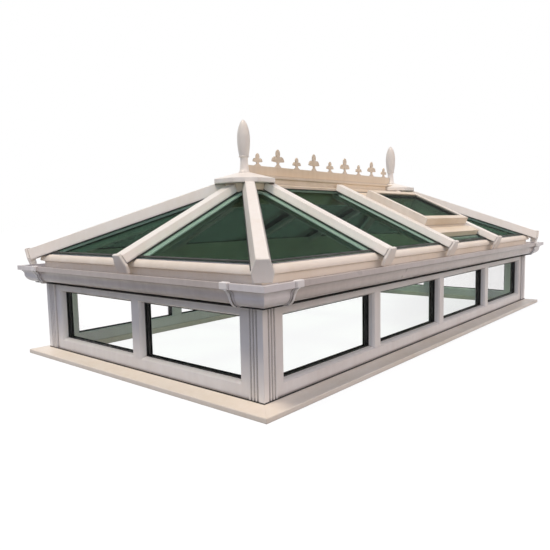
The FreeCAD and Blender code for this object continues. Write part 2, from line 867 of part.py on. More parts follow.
def build_roof():
    """Roof bars, caps, end shields, panes, hips and the vent."""
    bar_stops = Part.makeCompound(mirrored_ends(column(hub_core_apothem)))
    pane_stops = Part.makeCompound(mirrored_ends(column(hub_core_apothem + ridge_pane_gap)))
    cap_stops = Part.makeCompound(mirrored_ends(cap_stop()))
    inside = within_eaves()
    down_slope = point(0, -math.cos(pitch), -math.sin(pitch))
    shields = []
    end_bars = []
    end_caps = []
    for name, (turn, half_run, depth, lights) in sides.items():
        places = bar_places(half_run, lights)
        on_end = half_run < depth
        apex = half_run - half_width
        shift = point(0, half_width - depth, 0)
        bar_head = ridge_end_outset if on_end else ridge_beam_width / 2
        cap_head = ridge_end_outset if on_end else ridge_lip_reach
        bars = [slope_bar(bar_section(x), half_width, bar_head, apex, hip_body_width / 2) for x in places]
        caps = [slope_bar(cap_section(x), cap_foot_run, cap_head, apex, hip_cap_width / 2) for x in places]
        panes = slope_panes(apex, places, vent_bay_index if name == "front" else None)
        for piece in bars + caps + panes:
            piece.translate(shift)
        bars = [turned(s, turn).common(inside).cut(bar_stops) for s in bars]
        caps = [turned(s, turn).cut(cap_stops) for s in caps]
        if on_end:
            end_bars += bars
            end_caps += caps
        else:
            export("roof_bars_" + name, bars)
            export("bar_caps_" + name, caps)
        export("roof_glass_" + name, [turned(s, turn).cut(pane_stops) for s in panes])
        for x in places:
            end_plate = shield(cap_height + shield_rise, on_cap_foot, down_slope)
            end_plate.translate(shift + point(x, 0, 0))
            shields.append(turned(end_plate, turn))
    export("roof_bars_ends", end_bars)
    export("bar_caps_ends", end_caps)

    hip_body = hip_bar(hip_body_section()).common(inside).cut(bar_stops)
    hip_cap = hip_bar(hip_cap_section()).cut(cap_stops)
    hip_shield = shield(hip_cap_height + shield_rise, on_hip_foot, -hip_along)
    export("hip_bars", four_corners(hip_body))
    export("hip_caps", four_corners(hip_cap))
    export("cap_end_shields", shields + four_corners(hip_shield))

    frame, sash, unit = vent(bar_places(half_length, front_lights), pane_stops)
    for name, (stiles, rails) in (("vent_frame", frame), ("vent_sash", sash)):
        export(name + "_stiles", stiles)
        export(name + "_rails", rails)
    export("vent_glass", [unit])


os.makedirs("parts", exist_ok=True)
build_walls()
build_ridge()
build_roof()
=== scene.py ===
"""Looks of the hipped roof lantern: glazing units, seals, gutter clips, cresting, finials and finishes.

Metres, +Z up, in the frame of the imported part. The front faces -Y and carries the roof vent.
"""

import math

import bpy
from mathutils import Matrix, Vector


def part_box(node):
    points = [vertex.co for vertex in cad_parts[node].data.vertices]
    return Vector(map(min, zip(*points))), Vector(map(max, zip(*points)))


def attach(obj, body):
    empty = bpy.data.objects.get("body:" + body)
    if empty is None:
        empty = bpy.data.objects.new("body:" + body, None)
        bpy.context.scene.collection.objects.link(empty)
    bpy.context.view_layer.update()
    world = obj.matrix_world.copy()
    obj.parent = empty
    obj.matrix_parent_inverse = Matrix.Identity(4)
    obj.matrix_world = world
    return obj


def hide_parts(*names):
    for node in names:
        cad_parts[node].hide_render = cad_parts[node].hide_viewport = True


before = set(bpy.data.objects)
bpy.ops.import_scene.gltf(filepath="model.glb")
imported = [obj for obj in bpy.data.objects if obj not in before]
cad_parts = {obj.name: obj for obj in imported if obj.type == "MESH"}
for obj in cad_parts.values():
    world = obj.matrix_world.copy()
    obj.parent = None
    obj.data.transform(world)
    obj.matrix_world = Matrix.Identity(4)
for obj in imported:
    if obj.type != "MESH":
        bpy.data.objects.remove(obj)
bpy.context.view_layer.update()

# Plan and roof planes, as the CAD has them
HALF_LENGTH = 1.5
HALF_WIDTH = 0.75
PITCH = math.radians(25)
RIDGE_LINE_Z = 0.514 + (HALF_WIDTH + 0.010) * math.tan(PITCH)
APEX_X = HALF_LENGTH - HALF_WIDTH
RIDGE_END_X = APEX_X + 0.030
SIDES = {
    "front": (0, HALF_LENGTH, HALF_WIDTH, 4),
    "right": (90, HALF_WIDTH, HALF_LENGTH, 2),
    "back": (180, HALF_LENGTH, HALF_WIDTH, 4),
    "left": (270, HALF_WIDTH, HALF_LENGTH, 2),
}

# Side frames and their glazing units
POST = 0.072
FRAME_SIGHT = 0.058
MULLION_SIGHT = 0.074
REBATE = 0.014
FRAME_LOW = 0.030
FRAME_HIGH = 0.382
SIDE_UNIT_FACE = 0.038
SIDE_UNIT = 0.024
PANE_GAP = 0.003

# Roof units, runs measured in plan from the ridge
ROOF_UNIT = 0.024
PANE_HEAD_RUN = 0.055
PANE_FOOT_RUN = 0.742
VENT_STRIP_HEAD_RUN = 0.687
PANE_BAR_GAP = 0.010
PANE_HIP_GAP = 0.020
PANE_HUB_GAP = 0.095
CAP_HALF = 0.040
HIP_CAP_HALF = 0.036
CAP_FOOT_RUN = 0.794
RIDGE_LIP_RUN = 0.072
SHEET = 0.006
SPACER_BORDER = 0.014
# Pale bands in the roof units' cavity beside the bars, a painted reflection of the caps: reach from the bar,
# runs and lifts
REFLECTION_BAND_REACH = (0.025, 0.080)
REFLECTION_BAND_RUNS = (0.120, 0.726)
REFLECTION_BAND_LIFTS = (-0.012, -0.0065)
SEAL_WIDTH = 0.003
SEAL_HEIGHT = 0.002
FOOT_SEAL_WIDTH = 0.009
FOOT_SEAL_HEIGHT = 0.003
RIDGE_SEAL_STOP = 0.08
HUB_RUN = 0.10

# Vent on the front slope: its curb, the sash on it, the sash's unit and the lining at its foot
VENT_BAY = 2
VENT_INSET = 0.042
VENT_HEAD_RUN = 0.206
VENT_FOOT_RUN = 0.684
VENT_CURB_WALL = 0.046
SASH_INSET = 0.008
SASH_FOOT_INSET = 0.085
SASH_STILE = 0.046
SASH_REBATE = 0.010
SASH_SIGHT = SASH_STILE - SASH_REBATE
VENT_GLASS_LIFTS = (0.048, 0.068)
VENT_GLASS_INSET = VENT_INSET + SASH_INSET + SASH_SIGHT + PANE_GAP
VENT_GLASS_HEAD_RUN = VENT_HEAD_RUN + SASH_INSET + SASH_SIGHT + PANE_GAP
VENT_GLASS_FOOT_RUN = VENT_FOOT_RUN - SASH_FOOT_INSET - SASH_SIGHT - PANE_GAP
VENT_OPENING_INSET = VENT_INSET + VENT_CURB_WALL
VENT_LINING_RUNS = (VENT_FOOT_RUN - SASH_FOOT_INSET - SASH_SIGHT, VENT_FOOT_RUN - VENT_CURB_WALL)
VENT_LINING_LIFTS = (-0.010, 0.030)

# Gutter unions: where they sit, the hook's ends, offsets and heights, and the strap's path as offset and height
UNION_INSET = 0.072
HOOK_ENDS = (0.008, -0.028)
HOOK_OFFSETS = (0.085, 0.1075)
HOOK_HEIGHTS = (0.438, 0.464)
STRAP_WIDTH = 0.010
STRAP_WALL = 0.003
STRAP_PATH = [
    (0.084, 0.4615), (0.1045, 0.4615), (0.1055, 0.437), (0.0995, 0.434), (0.091, 0.423),
    (0.0845, 0.411), (0.0805, 0.397), (0.073, 0.385), (0.060, 0.3735), (0.040, 0.3715),
]

# Dark strips along the walls, offsets from the wall and heights: under the gutter a painted shadow line, at the
# sill a dark joint
GUTTER_SHADOW_LINE = ((0.002, 0.040), (0.3705, 0.3735))
SILL_JOINT = ((-0.003, 0.002), (0.029, 0.0335))

# Widths of rounded edges
STRIP_EDGE = 0.0008
REFLECTION_BAND_EDGE = 0.001
LINING_EDGE = 0.002
CREST_EDGE = 0.0022
HOOK_EDGE = 0.003
SMOOTH_ANGLE = math.radians(35)

# Finial profile: radius and height above the crown of the boss
FINIAL_BASE_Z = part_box("finials")[0].z
FINIAL_STEM = [
    (0.030, 0.000), (0.030, 0.005), (0.0268, 0.008), (0.0248, 0.012), (0.0234, 0.020), (0.0224, 0.030),
    (0.0214, 0.040), (0.0205, 0.050), (0.0200, 0.060), (0.0198, 0.074), (0.0204, 0.078), (0.0250, 0.0795),
    (0.0270, 0.0815), (0.0272, 0.0835), (0.0268, 0.0855), (0.0245, 0.0870),
]
BULB_FOOT_RADIUS = 0.024
BULB_RADIUS = 0.0335
BULB_HEIGHT = 0.172
BULB_POINT = 1.25
BULB_TIP_RADIUS = 0.0006
FINIAL_HEIGHT = 0.271
FINIAL_FACETS = 64
BULB_RINGS = 22

# Patterns on the plastics and the glass
CLOUD = 0.35
STREAK_WIDTH = 0.03
STREAK_LENGTH = 0.4
RIPPLE = 0.012
# reach of the painted shade in grooves, joints and recesses
PAINTED_SHADE_DEPTH = 0.012
BLOOM = 0.06
ROLLER_WAVE = 0.25

# painted shade: the colour that ambient occlusion mixes into grooves, joints and recesses
PAINTED_SHADE = "A39A93"
WHITE = "FFFFFF"


# Node materials
def linear(code):
    """An sRGB hex colour as linear RGBA."""
    parts = [int(code[i:i + 2], 16) / 255 for i in (0, 2, 4)]
    return [c / 12.92 if c <= 0.04045 else ((c + 0.055) / 1.055) ** 2.4 for c in parts] + [1.0]


def add(tree, kind, inputs=None, **settings):
    """Adds a node; inputs hold a value or another node's output."""
    node = tree.nodes.new(kind)
    for name, value in settings.items():
        setattr(node, name, value)
    for name, value in (inputs or {}).items():
        if isinstance(value, bpy.types.NodeSocket):
            tree.links.new(value, node.inputs[name])
        else:
            node.inputs[name].default_value = value
    return node


def new_material(name):
    material = bpy.data.materials.new(name)
    material.use_nodes = True
    material.node_tree.nodes.clear()
    return material, material.node_tree


def upvc(name, clean, weathered, roughness, edge):
    """White uPVC, extruded through a polished die: an even cream skin with a soft sheen.

    The eye sees faint clouding where rain has dried, thin upright streaks,
    a barely rippled gloss and edges that the die has rounded; grooves, joints and recesses get painted shade
    from ambient occlusion.
    """
    material, tree = new_material(name)
    place = add(tree, "ShaderNodeTexCoord").outputs["Object"]
    clouds = add(tree, "ShaderNodeTexNoise", {
        "Vector": place, "Scale": 1 / CLOUD, "Detail": 5.0, "Roughness": 0.6})
    ripple = add(tree, "ShaderNodeTexNoise", {"Vector": place, "Scale": 1 / RIPPLE, "Detail": 2.0})
    upright = add(tree, "ShaderNodeMapping", {
        "Vector": place, "Scale": (1 / STREAK_WIDTH, 1 / STREAK_WIDTH, 1 / STREAK_LENGTH)})
    streaks = add(tree, "ShaderNodeTexNoise", {
        "Vector": upright.outputs["Vector"], "Scale": 1.0, "Detail": 3.0})
    stain = add(tree, "ShaderNodeMath", {
        0: streaks.outputs["Fac"], 1: 0.35, 2: clouds.outputs["Fac"]}, operation="MULTIPLY_ADD")
    tone = add(tree, "ShaderNodeValToRGB", {"Fac": stain.outputs["Value"]})
    tone.color_ramp.elements[0].position = 0.46
    tone.color_ramp.elements[0].color = linear(weathered)
    tone.color_ramp.elements[1].position = 0.78
    tone.color_ramp.elements[1].color = linear(clean)
    # painted shade: ambient occlusion darkens grooves, joints and recesses towards the shade colour
    hollows = add(tree, "ShaderNodeAmbientOcclusion", {"Distance": PAINTED_SHADE_DEPTH}, samples=8)
    unshaded_share = add(tree, "ShaderNodeMapRange", {
        "Value": hollows.outputs["AO"], "From Min": 0.25, "From Max": 0.8})
    shaded_tone = add(tree, "ShaderNodeMix", {
        "Factor": unshaded_share.outputs["Result"], 6: linear(PAINTED_SHADE), 7: tone.outputs["Color"]}, data_type="RGBA")
    gloss = add(tree, "ShaderNodeMapRange", {
        "Value": clouds.outputs["Fac"], "From Min": 0.3, "From Max": 0.7,
        "To Min": roughness + 0.08, "To Max": roughness,
    })
    rounded = add(tree, "ShaderNodeBevel", {"Radius": edge}, samples=4)
    bump = add(tree, "ShaderNodeBump", {
        "Height": ripple.outputs["Fac"], "Strength": 0.04, "Distance": 0.001,
        "Normal": rounded.outputs["Normal"],
    })
    shader = add(tree, "ShaderNodeBsdfPrincipled", {
        "Base Color": shaded_tone.outputs[2], "Roughness": gloss.outputs["Result"], "IOR": 1.53,
        "Normal": bump.outputs["Normal"],
    })
    add(tree, "ShaderNodeOutputMaterial", {"Surface": shader.outputs["BSDF"]})
    return material


def body_tint(tree, outside, room, daylight):
    """Colour that a tinted sheet passes, taken as it is entered: deeper when entered from the room side, a
    painted shade for the dark room below.

    Daylight passes with less of the tint than the eye sees, so the bars below stay light.
    """
    geometry = add(tree, "ShaderNodeNewGeometry")
    upward = add(tree, "ShaderNodeSeparateXYZ", {"Vector": geometry.outputs["True Normal"]})
    # painted shade: faces entered from below take the deeper room tint
    from_room = add(tree, "ShaderNodeMath", {0: upward.outputs["Z"], 1: 0.0}, operation="LESS_THAN")
    entered = add(tree, "ShaderNodeMix", {
        "Factor": from_room.outputs["Value"], 6: linear(outside), 7: linear(room)}, data_type="RGBA")
    crossed = add(tree, "ShaderNodeMix", {
        "Factor": geometry.outputs["Backfacing"], 6: entered.outputs[2], 7: linear(WHITE)}, data_type="RGBA")
    path = add(tree, "ShaderNodeLightPath")
    lighting = add(tree, "ShaderNodeMath", {
        0: path.outputs["Is Shadow Ray"], 1: path.outputs["Is Diffuse Ray"]}, operation="MAXIMUM")
    passed = add(tree, "ShaderNodeMix", {
        "Factor": lighting.outputs["Value"], 6: crossed.outputs[2], 7: linear(daylight)}, data_type="RGBA")
    return passed.outputs[2]


def float_glass(name, body, share, shallow_share, tints=None):
    """Float glass, drawn flat on molten tin: the eye looks through it, and through its tint if it has one.

    It sees a faint sharp reflection at a shallow angle, with a slow waviness from the rollers of the oven.
    """
    material, tree = new_material(name)
    place = add(tree, "ShaderNodeTexCoord").outputs["Object"]
    waves = add(tree, "ShaderNodeTexNoise", {"Vector": place, "Scale": 1 / ROLLER_WAVE, "Detail": 1.0})
    bump = add(tree, "ShaderNodeBump", {"Height": waves.outputs["Fac"], "Strength": 0.05, "Distance": 0.01})
    colour = body_tint(tree, *tints) if tints else linear(WHITE)
    through = add(tree, "ShaderNodeBsdfTransparent", {"Color": colour})
    facing = add(tree, "ShaderNodeLayerWeight", {"Blend": 0.5})
    mirrored = add(tree, "ShaderNodeMapRange", {
        "Value": facing.outputs["Facing"], "From Min": 0.5, "From Max": 1.0,
        "To Min": share, "To Max": shallow_share,
    })
    surface = add(tree, "ShaderNodeBsdfPrincipled", {
        "Base Color": linear(body), "Roughness": 0.02, "IOR": 1.5, "Normal": bump.outputs["Normal"],
    })
    glass = add(tree, "ShaderNodeMixShader", {
        0: mirrored.outputs["Result"], 1: through.outputs["BSDF"], 2: surface.outputs["BSDF"]})
    add(tree, "ShaderNodeOutputMaterial", {"Surface": glass.outputs["Shader"]})
    return material


def matt_strip(name, colour):
    """Strips drawn or extruded matt, as rubber seals and spacers are; the eye sees a dusty bloom in places."""
    material, tree = new_material(name)
    place = add(tree, "ShaderNodeTexCoord").outputs["Object"]
    bloom = add(tree, "ShaderNodeTexNoise", {"Vector": place, "Scale": 1 / BLOOM, "Detail": 4.0})
    dust = add(tree, "ShaderNodeMapRange", {
        "Value": bloom.outputs["Fac"], "From Min": 0.35, "From Max": 0.75, "To Min": 0.48, "To Max": 0.75,
    })
    shader = add(tree, "ShaderNodeBsdfPrincipled", {
        "Base Color": linear(colour), "Roughness": dust.outputs["Result"], "IOR": 1.5,
    })
    add(tree, "ShaderNodeOutputMaterial", {"Surface": shader.outputs["BSDF"]})
    return material


wall_upvc = upvc("uPVC, extruded wall frames", "F6F4F1", "ECE8E3", 0.34, 0.002)
trim_upvc = upvc("uPVC, extruded sills and eaves, weathered", "F9F1E4", "F0E5D3", 0.34, 0.002)
# painted shade: a darker cream copy of the white uPVC for the ridge, cresting, vent rails and vent lining
shaded_ridge_upvc = upvc("uPVC, extruded ridge and vent, weathered cream", "EADCC6", "DECDB2", 0.36, 0.002)
cap_upvc = upvc("uPVC, extruded caps with rounded edges", "FBF8F1", "F4EEE3", 0.30, 0.006)
# painted shade: the gutter runs take a darker copy of the white uPVC, while the moulded corners and clips stay
# near white
shaded_gutter_upvc = upvc("uPVC, extruded gutter runs, darkened as painted shade", "D6CEC9", "C4BBB5", 0.26, 0.002)
corner_upvc = upvc("uPVC, moulded gutter corners", "EFEDEE", "E2DEDE", 0.26, 0.002)
clip_upvc = upvc("uPVC, moulded clips", "FDFCFA", "F6F3EF", 0.30, 0.0015)
# the second tint, met from the room side, is deeper as painted shade for the dark room below
roof_glass = float_glass(
    "float glass, green tint", "1E2A24", 0.015, 0.06, ("C2D0C8", "98A69D", "E6F5ED"))
side_glass = float_glass("float glass, clear", "2A332F", 0.004, 0.20)
# black rubber for the seals, and for the painted shadow line under the gutter
seal_and_shadow_rubber = matt_strip("EPDM rubber, extruded, also as painted shadow lines", "131415")
# white for the edge spacers, and for the pale bands that paint a reflection beside the bars
spacer_and_reflection_band = matt_strip("edge spacer and painted reflection bands, white", "FBFBFD")


# Modelling by hand: blocks added at their place, then shaped in edit mode
def block(name, low, high):
    """A box between two corners."""
    bpy.ops.object.select_all(action="DESELECT")
    middle = [(a + b) / 2 for a, b in zip(low, high)]
    bpy.ops.mesh.primitive_cube_add(size=1, location=middle, scale=[b - a for a, b in zip(low, high)])
    piece = bpy.context.object
    piece.name = name
    bpy.ops.object.transform_apply(location=True, rotation=True, scale=True)
    return piece


def pick_faces(piece, test):
    """Goes into edit mode with only the faces that pass the test selected."""
    bpy.ops.object.mode_set(mode="EDIT")
    bpy.ops.mesh.select_mode(type="FACE")
    bpy.ops.mesh.select_all(action="DESELECT")
    bpy.ops.object.mode_set(mode="OBJECT")
    for face in piece.data.polygons:
        face.select = test(face)
    bpy.ops.object.mode_set(mode="EDIT")


def cut_away(plane_point, plane_normal):
    """Cuts the active piece by a plane and closes it; the part on the normal's side goes."""
    bpy.ops.object.mode_set(mode="EDIT")
    bpy.ops.mesh.select_all(action="SELECT")
    bpy.ops.mesh.bisect(plane_co=plane_point, plane_no=plane_normal, use_fill=True, clear_outer=True)
    bpy.ops.object.mode_set(mode="OBJECT")


def open_middle(piece, axis, border):
    """Leaves a ring of a slab: its two broad faces are inset and bridged."""
    pick_faces(piece, lambda face: abs(face.normal.dot(axis)) > 0.9)
    bpy.ops.mesh.inset(thickness=border)
    bpy.ops.mesh.bridge_edge_loops()
    bpy.ops.object.mode_set(mode="OBJECT")


def joined(name, pieces):
    """Several pieces as one, under a new name."""
    bpy.ops.object.select_all(action="DESELECT")
    for piece in pieces:
        piece.select_set(True)
    bpy.context.view_layer.objects.active = pieces[0]
    if len(pieces) > 1:
        bpy.ops.object.join()
    pieces[0].name = name
    pieces[0].data.name = name
    return pieces[0]


def soften(piece, width):
    """Rounds the edges of a piece."""
    bpy.context.view_layer.objects.active = piece
    edges = piece.modifiers.new("rounded edges", "BEVEL")
    edges.width = width
    edges.segments = 2
    edges.limit_method = "ANGLE"
    bpy.ops.object.modifier_apply(modifier=edges.name)


def settle(piece, place):
    """Puts a piece drawn about the origin into its place, which goes into its mesh."""
    bpy.ops.object.select_all(action="DESELECT")
    piece.select_set(True)
    bpy.context.view_layer.objects.active = piece
    piece.matrix_world = place
    bpy.ops.object.transform_apply(location=True, rotation=True, scale=True)


def finished(piece, material, replaced=()):
    """Gives a piece its finish and its place in the part."""
    piece.data.materials.clear()
    piece.data.materials.append(material)
    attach(piece, "root")
    if replaced:
        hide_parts(*replaced)
    return piece


def bar_places(half_run, lights):
    """Mullions and the roof bars above them, spaced for equal lights."""
    clear = 2 * (half_run - POST - FRAME_SIGHT) + MULLION_SIGHT
    return [(i - lights / 2) * clear / lights for i in range(1, lights)]


def wall_place(turn):
    return Matrix.Rotation(math.radians(turn), 4, "Z")


def slope_place(turn, depth):
    """From a flat drawing, with the ridge along X and the lift up Z, to one slope of the roof."""
    lift = Matrix.Translation((0, HALF_WIDTH - depth, RIDGE_LINE_Z))
    return wall_place(turn) @ lift @ Matrix.Rotation(PITCH, 4, "X")


def down(run):
    """Distance down the slope of a run in plan."""
    return run / math.cos(PITCH)


def slope_slab(name, across, runs, lifts):
    """A flat slab between two places across, two runs and two lifts."""
    low = (across[0], -down(runs[1]), lifts[0])
    high = (across[1], -down(runs[0]), lifts[1])
    return block(name, low, high)


def cut_at_hip(side, apex, gap, keep_inside=True):
    """Cuts the active flat piece along the hip on its left (-1) or right (1), at a gap from it."""
    outward = Vector((side, math.cos(PITCH), 0)).normalized()
    point = (side * (apex - gap * math.sqrt(2)), 0, 0)
    cut_away(point, outward if keep_inside else -outward)


def cut_at_hub(side, apex):
    """Cuts back the corner of the active flat piece that points at the ridge end."""
    on_end = apex < HALF_WIDTH / 2
    hub = Vector((0, APEX_X - RIDGE_END_X)) if on_end else Vector((side * RIDGE_END_X, 0))
    eighth = math.radians(22.5)
    away = Vector((side * math.sin(eighth), -math.cos(eighth)))
    point = hub + away * PANE_HUB_GAP
    inward = -Vector((away.x, away.y * math.cos(PITCH), 0))
    cut_away((point.x, point.y / math.cos(PITCH), 0), inward.normalized())


# Roof glazing: two sheets and a white spacer in each bay, with pale bands in the cavity beside the bars as a
# painted reflection of the caps
def bay_slab(name, half_run, bay, bars, lifts, vent):
    apex = half_run - HALF_WIDTH
    edges = [None] + bars + [None]
    left, right = edges[bay], edges[bay + 1]
    far = apex + PANE_FOOT_RUN
    across = (
        -far if left is None else left + PANE_BAR_GAP,
        far if right is None else right - PANE_BAR_GAP,
    )
    head = VENT_STRIP_HEAD_RUN if vent else PANE_HEAD_RUN
    slab = slope_slab(name, across, (head, PANE_FOOT_RUN), lifts)
    if left is None:
        cut_at_hip(-1, apex, PANE_HIP_GAP)
        cut_at_hub(-1, apex)
    if right is None:
        cut_at_hip(1, apex, PANE_HIP_GAP)
        cut_at_hub(1, apex)
    return slab


def roof_units():
    up = Vector((0, 0, 1))
    outer = (-SHEET, 0.0)
    inner = (-ROOF_UNIT, -ROOF_UNIT + SHEET)
    cavity = (-ROOF_UNIT + SHEET, -SHEET)
    for side, (turn, half_run, depth, lights) in SIDES.items():
        bars = bar_places(half_run, lights)
        sheets = []
        spacer_rings_and_reflection_bands = []
        for bay in range(lights):
            vent = side == "front" and bay == VENT_BAY
            for lifts in (outer, inner):
                sheets.append(bay_slab("sheet", half_run, bay, bars, lifts, vent))
            spacer = bay_slab("spacer", half_run, bay, bars, cavity, vent)
            open_middle(spacer, up, SPACER_BORDER)
            spacer_rings_and_reflection_bands.append(spacer)
        # pale bands beside each bar, a painted reflection of the caps
        for bar, x in enumerate(bars):
            for edge, bay in ((-1, bar), (1, bar + 1)):
                if side != "front" or bay != VENT_BAY:
                    across = sorted(x + edge * reach for reach in REFLECTION_BAND_REACH)
                    band = slope_slab("band", across, REFLECTION_BAND_RUNS, REFLECTION_BAND_LIFTS)
                    soften(band, REFLECTION_BAND_EDGE)
                    spacer_rings_and_reflection_bands.append(band)
        units = joined("roof_units_" + side, sheets)
        settle(units, slope_place(turn, depth))
        finished(units, roof_glass, ["roof_glass_" + side])
        rings = joined("roof_spacer_rings_and_reflection_bands_" + side, spacer_rings_and_reflection_bands)
        settle(rings, slope_place(turn, depth))
        finished(rings, spacer_and_reflection_band)


def vent_unit():
    bars = bar_places(HALF_LENGTH, SIDES["front"][3])
    across = (bars[VENT_BAY - 1] + VENT_GLASS_INSET, bars[VENT_BAY] - VENT_GLASS_INSET)
    runs = (VENT_GLASS_HEAD_RUN, VENT_GLASS_FOOT_RUN)
    low, high = VENT_GLASS_LIFTS
    sheets = [
        slope_slab("sheet", across, runs, (high - SHEET, high)),
        slope_slab("sheet", across, runs, (low, low + SHEET)),
    ]
    unit = joined("vent_unit", sheets)
    settle(unit, slope_place(0, HALF_WIDTH))
    finished(unit, roof_glass, ["vent_glass"])
    spacer = slope_slab("vent_spacer", across, runs, (low + SHEET, high - SHEET))
    open_middle(spacer, Vector((0, 0, 1)), SPACER_BORDER)
    settle(spacer, slope_place(0, HALF_WIDTH))
    finished(spacer, seal_and_shadow_rubber)
    lined = (bars[VENT_BAY - 1] + VENT_OPENING_INSET, bars[VENT_BAY] - VENT_OPENING_INSET)
    lining = slope_slab("vent_foot_lining", lined, VENT_LINING_RUNS, VENT_LINING_LIFTS)
    soften(lining, LINING_EDGE)
    settle(lining, slope_place(0, HALF_WIDTH))
    finished(lining, shaded_ridge_upvc)


# Side glazing
def side_lights(half_run, lights):
    """Left and right sight edges of the lights of one side."""
    half = half_run - POST - FRAME_SIGHT
    places = bar_places(half_run, lights)
    left = [-half] + [x + MULLION_SIGHT / 2 for x in places]
    right = [x - MULLION_SIGHT / 2 for x in places] + [half]
    return list(zip(left, right))


def side_units():
    front = Vector((0, 1, 0))
    low = FRAME_LOW + FRAME_SIGHT - REBATE
    high = FRAME_HIGH - FRAME_SIGHT + REBATE - PANE_GAP
    for side, (turn, half_run, depth, lights) in SIDES.items():
        face = -depth + SIDE_UNIT_FACE
        sheets = []
        rings = []
        for left, right in side_lights(half_run, lights):
            x0 = left - REBATE + PANE_GAP
            x1 = right + REBATE - PANE_GAP
            back = face + SIDE_UNIT
            sheets.append(block("sheet", (x0, face, low), (x1, face + SHEET, high)))
            sheets.append(block("sheet", (x0, back - SHEET, low), (x1, back, high)))
            spacer = block("spacer", (x0, face + SHEET, low), (x1, back - SHEET, high))
            open_middle(spacer, front, SPACER_BORDER)
            rings.append(spacer)
            for y in (face - SEAL_WIDTH / 2, back + SEAL_WIDTH / 2):
                seal = block(
                    "seal",
                    (left - SEAL_WIDTH, y - SEAL_WIDTH / 2, FRAME_LOW + FRAME_SIGHT - SEAL_WIDTH),
                    (right + SEAL_WIDTH, y + SEAL_WIDTH / 2, FRAME_HIGH - FRAME_SIGHT + SEAL_WIDTH),
                )
                open_middle(seal, front, 2 * SEAL_WIDTH)
                rings.append(seal)
        units = joined("side_units_" + side, sheets)
        settle(units, wall_place(turn))
        finished(units, side_glass, [side + "_glass"])
        seals = joined("side_seals_" + side, rings)
        settle(seals, wall_place(turn))
        finished(seals, seal_and_shadow_rubber)


# Seals on the roof: along the caps, the ridge and the eaves
def roof_seals():
    for side, (turn, half_run, depth, lights) in SIDES.items():
        apex = half_run - HALF_WIDTH
        on_end = half_run < depth
        head = HUB_RUN if on_end else RIDGE_LIP_RUN
        strips = []
        for x in bar_places(half_run, lights):
            for edge in (-1, 1):
                inner = x + edge * CAP_HALF
                across = sorted((inner, inner + edge * SEAL_WIDTH))
                strips.append(slope_slab("seal", across, (head, CAP_FOOT_RUN), (0.0, SEAL_HEIGHT)))
        foot_runs = (PANE_FOOT_RUN - FOOT_SEAL_WIDTH, PANE_FOOT_RUN)
        foot = slope_slab("seal", (-half_run, half_run), foot_runs, (0.0, FOOT_SEAL_HEIGHT))
        cut_at_hip(-1, apex, HIP_CAP_HALF)
        cut_at_hip(1, apex, HIP_CAP_HALF)
        strips.append(foot)
        if not on_end:
            stop = APEX_X - RIDGE_SEAL_STOP
            under = (RIDGE_LIP_RUN, RIDGE_LIP_RUN + SEAL_WIDTH)
            strips.append(slope_slab("seal", (-stop, stop), under, (0.0, SEAL_HEIGHT)))
        for edge in (-1, 1):
            across = sorted((0.0, edge * (apex + CAP_FOOT_RUN)))
            strip = slope_slab("seal", across, (HUB_RUN, CAP_FOOT_RUN), (0.0, SEAL_HEIGHT))
            cut_at_hip(edge, apex, HIP_CAP_HALF)
            cut_at_hip(edge, apex, HIP_CAP_HALF + SEAL_WIDTH, keep_inside=False)
            strips.append(strip)
        seals = joined("roof_seals_" + side, strips)
        settle(seals, slope_place(turn, depth))
        finished(seals, seal_and_shadow_rubber)


# Gutter unions: a strap down the ogee and a block that hooks over the lip
def union_strap(x, depth):
    """A strap that starts flat on the lip and is extruded down the face of the gutter."""
    bpy.ops.object.select_all(action="DESELECT")
    first, second = STRAP_PATH[:2]
    middle = (x, -depth - (first[0] + second[0]) / 2, first[1])
    bpy.ops.mesh.primitive_plane_add(size=1, location=middle)
    strap = bpy.context.object
    bpy.ops.transform.resize(value=(STRAP_WIDTH, second[0] - first[0], 1), center_override=middle)
    bpy.ops.object.transform_apply(location=True, rotation=True, scale=True)
    bpy.ops.object.mode_set(mode="EDIT")
    bpy.ops.mesh.select_mode(type="VERT")
    bpy.ops.mesh.select_all(action="DESELECT")
    bpy.ops.object.mode_set(mode="OBJECT")
    front = min(spot.co.y for spot in strap.data.vertices)
    for spot in strap.data.vertices:
        spot.select = spot.co.y < front + STRAP_WALL
    bpy.ops.object.mode_set(mode="EDIT")
    for here, following in zip(STRAP_PATH[1:], STRAP_PATH[2:]):
        step = (0, here[0] - following[0], following[1] - here[1])
        bpy.ops.mesh.extrude_region_move(TRANSFORM_OT_translate={"value": step})
    bpy.ops.mesh.select_all(action="SELECT")
    bpy.ops.mesh.normals_make_consistent(inside=False)
    bpy.ops.object.mode_set(mode="OBJECT")
    wall = strap.modifiers.new("wall", "SOLIDIFY")
    wall.thickness = STRAP_WALL
    wall.offset = 0.0
    bpy.ops.object.modifier_apply(modifier=wall.name)
    return strap


def gutter_clips():
    for side, (turn, half_run, depth, lights) in SIDES.items():
        clips = []
        for end in (-1, 1):
            x = end * (half_run - UNION_INSET)
            strap = union_strap(x, depth)
            soften(strap, STRIP_EDGE)
            reach = sorted(x + end * offset for offset in HOOK_ENDS)
            hook = block(
                "hook",
                (reach[0], -depth - HOOK_OFFSETS[1], HOOK_HEIGHTS[0]),
                (reach[1], -depth - HOOK_OFFSETS[0], HOOK_HEIGHTS[1]),
            )
            soften(hook, HOOK_EDGE)
            clips += [strap, hook]
        pair = joined("gutter_clips_" + side, clips)
        settle(pair, wall_place(turn))
        finished(pair, clip_upvc)


